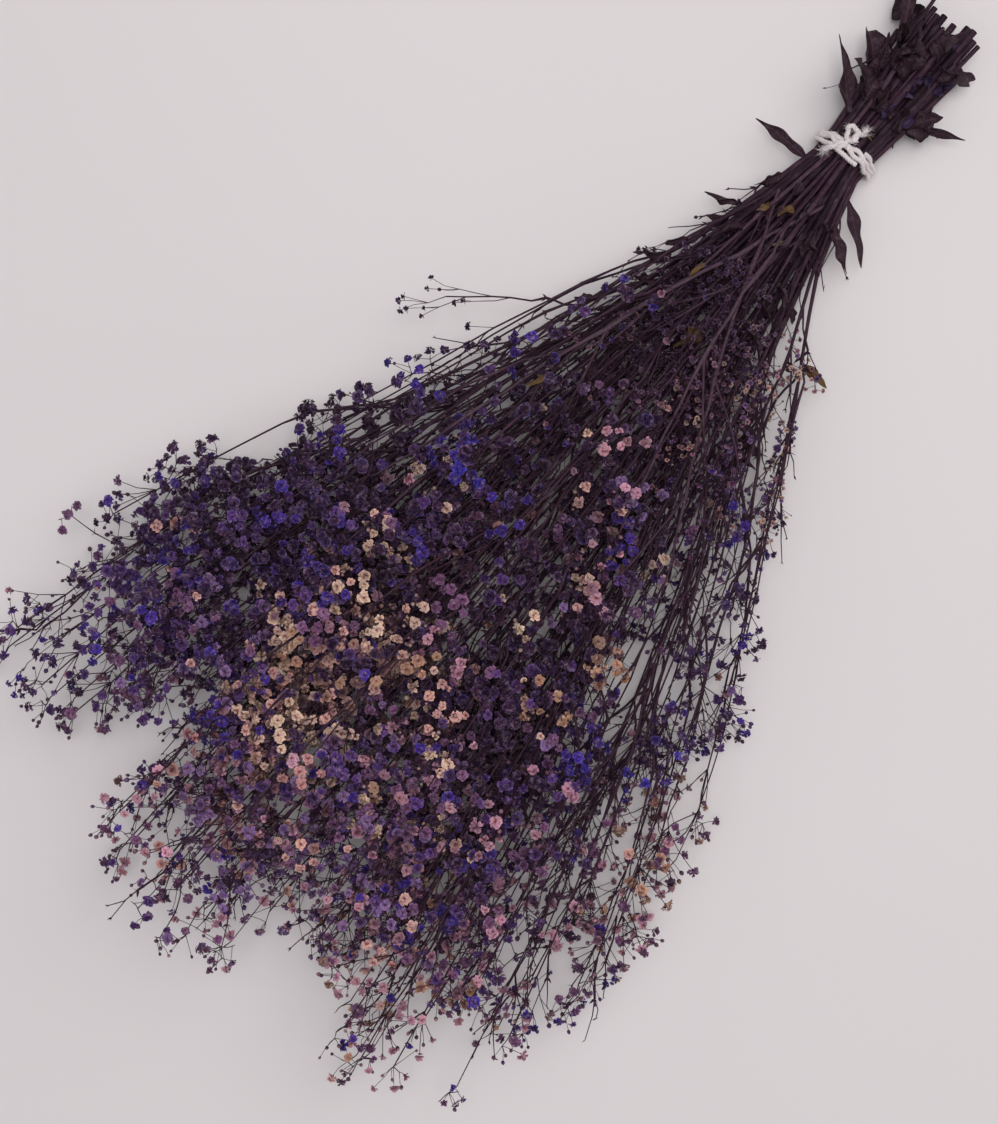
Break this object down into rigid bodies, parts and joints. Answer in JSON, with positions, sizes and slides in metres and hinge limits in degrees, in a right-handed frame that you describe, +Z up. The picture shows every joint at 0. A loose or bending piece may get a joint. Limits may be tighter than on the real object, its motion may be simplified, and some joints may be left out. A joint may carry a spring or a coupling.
{
  "type": "preserved baby's breath",
  "caption": "Tied bunch of dyed, dried baby's breath lying on its side: long forked stems fanning out to clouds of small ragged florets.",
  "frame": {"origin": "middle of the bunch's box, on the surface that it lies on", "axes": "+Y runs along the bunch from the flower heads to the cut ends, +Z is up from the surface, +X is across the fan"},
  "size_m": [0.3686, 0.648, 0.1098],
  "materials": {
    "dyed_spray": "matte",
    "dyed_stem": "matte",
    "dyed_petal": "matte",
    "dyed_leaf": "matte",
    "cotton_string": "matte"
  },
  "bodies": {
    "root": {"spray_0_0": "dyed_spray", "spray_0_1": "dyed_spray", "spray_0_2": "dyed_spray", "spray_0_3": "dyed_spray", "spray_1_0": "dyed_spray", "spray_1_1": "dyed_spray", "spray_1_2": "dyed_spray", "spray_1_3": "dyed_spray", "spray_1_4": "dyed_spray", "spray_2_0": "dyed_spray", "spray_2_1": "dyed_spray", "spray_2_2": "dyed_spray", "spray_2_3": "dyed_spray", "spray_2_4": "dyed_spray", "spray_2_5": "dyed_spray", "spray_3_0": "dyed_spray", "spray_3_1": "dyed_spray", "spray_3_2": "dyed_spray", "spray_3_3": "dyed_spray", "spray_3_4": "dyed_spray", "spray_3_5": "dyed_spray", "spray_3_6": "dyed_spray", "spray_4_0": "dyed_spray", "spray_4_1": "dyed_spray", "spray_4_2": "dyed_spray", "spray_4_3": "dyed_spray", "spray_4_4": "dyed_spray", "spray_4_5": "dyed_spray", "spray_5_0": "dyed_spray", "spray_5_1": "dyed_spray", "spray_5_2": "dyed_spray", "spray_5_3": "dyed_spray", "spray_5_4": "dyed_spray", "spray_6_0": "dyed_spray", "spray_6_1": "dyed_spray", "spray_6_2": "dyed_spray", "spray_6_3": "dyed_spray", "string_tie": "cotton_string"}
  },
  "joints": []
}
